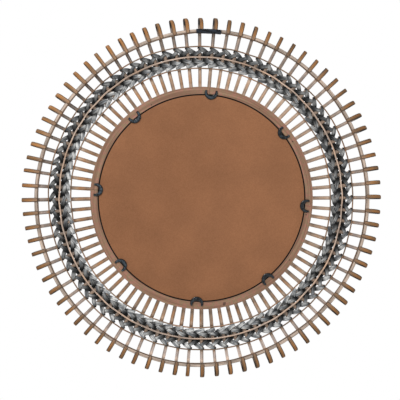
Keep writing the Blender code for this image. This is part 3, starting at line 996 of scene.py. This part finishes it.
BANDS = ("outer", OUTER_STEP, 160, -0.3), ("inner", INNER_STEP, 245, 0.55)
for band, places, light_side, gain in BANDS:
    for first in (0, 1):
        node = f"{band}_band_strand_{first + 1}"
        strand(f"{band}_weave_{first + 1}", places, first, node, grey_stain, light_side, gain)

# %% [markdown]
# ## The wooden ring
#
# Four quarters of bare pinkish wood, glued end to end, hold glass and board in a rebate. Each is one
# softened profile carried through a quarter turn, which leaves the glue joints as fine dark lines. The
# grain runs along each quarter, with short dark pores and a few specks.

# %% Ring
wood = Finish("ring_wood")
wood_tone = wood.attribute("tone")
wood_shift = wood.scaled((4.0, 2.0, 8.0), wood_tone)
wood_grain = wood.noise(wood.place("UV", (9, 320, 1)), detail=4.0, shift=wood_shift)
wood_pores = wood.noise(wood.place("UV", (160, 1500, 1)), detail=2.0, shift=wood_shift)
wood_specks = wood.noise(wood.place(), scale=95.0, detail=1.0)
wood_blush = wood.noise(wood.place(), scale=140.0, detail=2.0, rough=0.7)
wood_pink = wood_blush.between(0.4, 0.62).mix(paint(160, 134, 102), paint(184, 126, 108))
wood_colour = wood_grain.between(0.32, 0.68).mix(paint(137, 101, 78), wood_pink)
wood_light = wood_pores.between(0.3, 0.45, 0.86, 1.0) * wood_specks.between(0.74, 0.78, 1.0, 0.35)
# painted shade on the rebate's inner wall, darkening the gap round the board
wood_light = wood_light * (wood_tone * 0.12 + 0.94) * (1 - wood.attribute("inside") * 0.93)
ring_wood = wood.surface(
    bump=wood_grain + wood_pores * 0.5,
    strength=0.35,
    distance=0.0004,
    Base_Color=wood.scaled(wood_colour, wood_light),
    Roughness=wood_grain.between(0.3, 0.7, 0.72, 0.58),
)

lip_back = RING_THICK - LIP_THICK
INNER_EDGE = 0.0018  # a corner this far from the rebate keeps its dark line narrow
ring_section = soften(
    [
        (RING_IN, 0.0),
        (RING_IN + INNER_EDGE, 0.0),
        (RING_OUT, 0.0),
        (RING_OUT, RING_THICK),
        (RING_LIP, RING_THICK),
        (RING_LIP, lip_back),
        (RING_IN, lip_back),
    ],
    0.0007,
)
JOINT, GLUE = np.radians(1.9), 0.0005
# the rebate's inner wall, which gets the painted shade
inside = (ring_section[:, 0] < RING_IN + 0.0008) & (ring_section[:, 1] < lip_back + 0.001)
for quarter, tone in enumerate((0.6, 0.25, 0.75, 0.45)):
    ends_at = GLUE / 2 / RING_OUT
    start = JOINT + quarter * np.pi / 2 + ends_at
    sweep = np.linspace(start, start + np.pi / 2 - 2 * ends_at, 72)
    amounts = {"tone": tone, "inside": inside[None, None, :]}
    arc = skin(f"ring_arc_{quarter + 1}", turned(ring_section, sweep), attributes=amounts, sharp=35)
    dress(arc, ring_wood, "ring_wood", f"ring_quarter_{quarter + 1}")

# %% [markdown]
# ## Board and glass
#
# The board is thin brown fibreboard, and the glass in front of it is silvered. Both are discs. A disc is a
# profile turned round the axis, from a small hole of a tenth of a millimetre at its middle on one face,
# over the softened rim, to the same on the other. The end faces close it.

# %% Discs


def disc(radius, back, front, rows):
    """Rings of radius r for the back face, the rim with its two softened edges, and the front face. The grid
    runs from the back's centre to the front's, so its two end faces close the middle."""
    hole, soft = 0.0001, 0.0006
    inwards = np.linspace(hole, radius - soft, rows)
    edge = [radius - soft * 0.3, radius, radius, radius - soft * 0.3]
    radii = np.concatenate([inwards, edge, inwards[::-1]])
    depths = np.concatenate(
        [
            np.full(rows, back),
            [back + soft * 0.3, back + soft, front - soft, front - soft * 0.3],
            np.full(rows, front),
        ]
    )
    turn = np.linspace(0, 2 * np.pi, 240, endpoint=False)
    return polar(turn[None, :], radii[:, None], depths[:, None])[None]


BOARD_RADIUS, BOARD_THICK = 0.2166, 0.003
PAINTED_GAP_SHADE_WIDTH = 0.0004  # the width of the dark line round the board
board_finish = Finish("backing_board")
board_mottle = board_finish.noise(board_finish.place(), scale=16.0, detail=3.0)
board_fine = board_finish.noise(board_finish.place(), scale=420.0, detail=5.0, rough=0.7)
board_wide = board_finish.noise(board_finish.place(), scale=4.0, detail=2.0)
board_colour = board_wide.between(0.3, 0.7).mix(paint(146, 96, 61), paint(156, 104, 68))
board_light = board_mottle.between(0.3, 0.7, 0.95, 1.05) * board_fine.between(0.25, 0.75, 0.88, 1.12)
# painted shade on the board's rim, in the gap beside the ring
board_light = board_light * (1 - board_finish.attribute("painted_gap_shade") * 0.93)
fibreboard = board_finish.surface(
    bump=board_fine + board_mottle,
    strength=0.25,
    distance=0.0004,
    Base_Color=board_finish.scaled(board_colour, board_light),
    Roughness=board_fine.between(0.3, 0.7, 0.86, 0.74),
)
board_grid = disc(BOARD_RADIUS, 0.0, BOARD_THICK, 14)
away = np.hypot(board_grid[..., 0], board_grid[..., 2] - AXIS_Z)
# the outermost rim of the board gets the painted shade
board = skin("back_board", board_grid, attributes={"painted_gap_shade": away > BOARD_RADIUS - PAINTED_GAP_SHADE_WIDTH})
dress(board, fibreboard, "backing_board", "backing_board")

# %% [markdown]
# The mirror's silver is behind the glass, under a coat of dark paint. From the front one sees only the
# reflection, so the front face is a polished metal, and an attribute switches the back and the rim to
# paint.

# %% Glass
glass_finish = Finish("mirror_glass")
silver = glass_finish.attribute("silver")
smear = glass_finish.noise(glass_finish.place(), scale=9.0, detail=4.0)
mirror_finish = glass_finish.surface(
    Base_Color=silver.mix(paint(20, 20, 21), paint(236, 240, 239)),
    Metallic=silver,
    Roughness=silver * smear.between(0.3, 0.7, 0.012, 0.03) + (1 - silver) * 0.6,
)
GLASS_RADIUS, GLASS_BACK, GLASS_FRONT = 0.2176, 0.0033, 0.0063
PAINTED_TO, SILVERED_FROM = 0.0056, 0.0062  # depths within the glass
glass_grid = disc(GLASS_RADIUS, GLASS_BACK, GLASS_FRONT, 10)
silvered = ease(AXIS_Y - glass_grid[..., 1], PAINTED_TO, SILVERED_FROM)
glass = skin("silvered_glass", glass_grid, attributes={"silver": silvered})
dress(glass, mirror_finish, "mirror_glass", "mirror_glass")

# %% [markdown]
# ## The cane trim in front
#
# A half-round cane covers the inner ends of the spokes and frames the glass. The photograph doesn't show
# it, so it stays plain: a half circle on a flat back, nearly as brown as the spokes.

# %% Trim
TRIM_IN, TRIM_OUT, TRIM_BACK, TRIM_FRONT = RING_LIP, RING_OUT + 0.0012, 0.0136, 0.0206
dome = np.linspace(0, np.pi, 17)
trim_middle, trim_half = (TRIM_IN + TRIM_OUT) / 2, (TRIM_OUT - TRIM_IN) / 2
trim_section = np.stack(
    [
        trim_middle + trim_half * np.sign(np.cos(dome)) * np.abs(np.cos(dome)) ** 0.8,
        TRIM_BACK + (TRIM_FRONT - TRIM_BACK) * np.sin(dome) ** 0.75,
    ],
    axis=-1,
)
trim_worn = (0.3 + 0.3 * np.sin(6 * around))[None, :, None]
trim = skin(
    "trim_cane",
    turned(trim_section, around),
    loop=True,
    attributes={"tone": 0.4, "skin": 1.0, "wash": 0.1, "worn": trim_worn, "rim": 0.0},
)
trim_cane = rattan(
    "trim_cane", paint(160, 124, 90), paint(160, 124, 90), paint(140, 118, 100), paint(158, 104, 58)
)
dress(trim, trim_cane, "trim_ring", "front_trim_ring")

# %% [markdown]
# ## Crescent clips
#
# Eight flat black crescents hold the board, their horns pointing outwards over the ring. The outer and the
# inner edge are two arcs, and a point of the clip lies between points of the two arcs. The strip between
# them gets a rounded section. A painted highlight lies grey along its crown, most of all on the clips at
# the left.

# %% Clips
CLIP_ANGLES = np.radians([2.8, 49.3, 91.9, 138.3, 180.1, 227.8, 272.0, 318.0])
CLIP_BACK, CLIP_FRONT = -0.0023, -0.0003
CLIP_CENTRE = RING_IN + 0.0035
HORN_ENDS = 0.0055  # how far outside that radius the horns end
CLIP_ARCS = (0.0139, 0.0), (0.0088, 0.0036)  # each arc's radius, and how far outside its own centre is
ROUND_CLIP = np.linspace(0, 2 * np.pi, 14, endpoint=False)


def crescent(angle):
    """Edge(t) = centre + R (sin t, -cos t) for both arcs, and middle + x half for each x of the section."""
    edges = []
    for size, lift in CLIP_ARCS:
        tilt = np.arcsin((HORN_ENDS - lift) / size)
        turn = (np.pi + 2 * tilt) * np.linspace(-0.5, 0.5, 33)
        edges.append(np.stack([size * np.sin(turn), CLIP_CENTRE + lift - size * np.cos(turn)], axis=-1))
    middle, half = (edges[0] + edges[1]) / 2, (edges[0] - edges[1]) / 2
    section = np.stack([np.cos(ROUND_CLIP), np.sin(ROUND_CLIP)], axis=-1)
    section = np.sign(section) * np.abs(section) ** 0.8
    flat = middle[:, None, :] + half[:, None, :] * section[None, :, :1]
    depth = (CLIP_BACK + CLIP_FRONT) / 2 + (CLIP_FRONT - CLIP_BACK) / 2 * section[None, :, 1]
    return polar(angle, flat[..., 1], depth, flat[..., 0])[None]


black = Finish("black_clip")
black_mottle = black.noise(black.place(), scale=260.0, detail=4.0)
# a painted highlight along the crown, in grey-blue
black_highlight_mask = black.attribute("painted_highlight") * black_mottle.between(0.36, 0.6)
black_paint = black.surface(
    bump=black_mottle,
    strength=0.2,
    distance=0.0003,
    Base_Color=black_highlight_mask.mix(paint(10, 12, 14), paint(92, 106, 118)),
    Roughness=black_mottle.between(0.3, 0.7, 0.16, 0.3),
)
ridge = np.clip(1 - 1.5 * np.abs(np.cos(ROUND_CLIP)), 0, 1)
for number, angle in enumerate(CLIP_ANGLES):
    # painted highlight along the ridge, brightest on the clips at the left
    painted_highlight = (0.3 + 0.7 * bump(angle, 290, 95)) * ridge
    clip = skin(f"crescent_clip_{number + 1}", crescent(angle), attributes={"painted_highlight": painted_highlight}, sharp=60)
    dress(clip, black_paint, "black_clip", f"board_clip_{number + 1}")

# %% [markdown]
# ## The black binding
#
# At the top the hoop is bound with glossy black tape, over the ends of two spokes. The tape goes round in a
# helix, and each turn laps over the last, so the sleeve's thickness is a saw wave that slants with the
# helix. It follows the hoop's curve. Inner and outer wall are one grid whose rows run out along the hoop on
# the outside and back again on the inside.

# %% Binding
TAPE_LOW, TAPE_HIGH, TAPE_BACK, TAPE_FRONT = 0.3474, 0.3570, 0.0012, 0.01085
HALF_LENGTH, LAPS = 0.0262, 6.0
TAPE_WALL, FRONT_WALL, TAPE_SOFT = 0.0008, 0.0002, 0.0012
LAP_STEP, LAP_SLOPE = 0.00045, 0.00025  # how deep an edge of the tape is, and how far a turn leans


def tape_wall(depth_in, lap):
    """A softened box section, depth_in inside the outer face and lap further in where the tape is thin."""
    low, high = TAPE_LOW + depth_in, TAPE_HIGH - depth_in
    back, front = TAPE_BACK + depth_in, TAPE_FRONT - min(depth_in, FRONT_WALL)
    corners = [(low, back), ((low + high) / 2, back), (high, back), (high, front), (low, front)]
    section = soften(corners, TAPE_SOFT)
    middle = np.array([(low + high) / 2, (back + front) / 2])
    towards = (middle - section) / np.linalg.norm(middle - section, axis=1, keepdims=True)
    towards[:, 1] *= section[:, 1] < front - 0.001  # the front stays flat, against the spokes
    return section[None] + towards[None] * lap[..., None]


lengthwise = np.linspace(-HALF_LENGTH, HALF_LENGTH, 121)
spin = np.linspace(0, 1, 15, endpoint=False)
saw = (lengthwise[:, None] / (2 * HALF_LENGTH) * LAPS + spin[None, :]) % 1.0
outer_wall = tape_wall(0.0, LAP_STEP * (1 - ease(saw, 0.0, 0.12)) + LAP_SLOPE * saw)
inner_wall = tape_wall(TAPE_WALL, np.zeros((2, len(spin))))
walls = np.concatenate([outer_wall, inner_wall], axis=0)
lengths = np.concatenate([lengthwise, [HALF_LENGTH - 0.0002, -HALF_LENGTH + 0.0002]])
tape_grid = polar((lengths / HOOP_IN)[:, None], walls[..., 0], walls[..., 1])[None]
tape = Finish("black_binding")
tape_wrinkle_and_sheen = tape.noise(tape.place("UV", (60, 220, 1)), detail=3.0)
tape_fine = tape.noise(tape.place(), scale=500.0, detail=3.0)
# the wrinkle noise also paints lighter blue-grey patches on the black tape as painted sheen
glossy_tape = tape.surface(
    bump=tape_wrinkle_and_sheen + tape_fine * 0.3,
    strength=0.35,
    distance=0.0005,
    Base_Color=tape_wrinkle_and_sheen.between(0.38, 0.62).mix(paint(8, 9, 12), paint(44, 51, 62)),
    Roughness=tape_fine.between(0.3, 0.7, 0.1, 0.22),
)
binding = skin("tape_binding", tape_grid, loop=True, sharp=60)
dress(binding, glossy_tape, "black_binding", "hanger_binding")
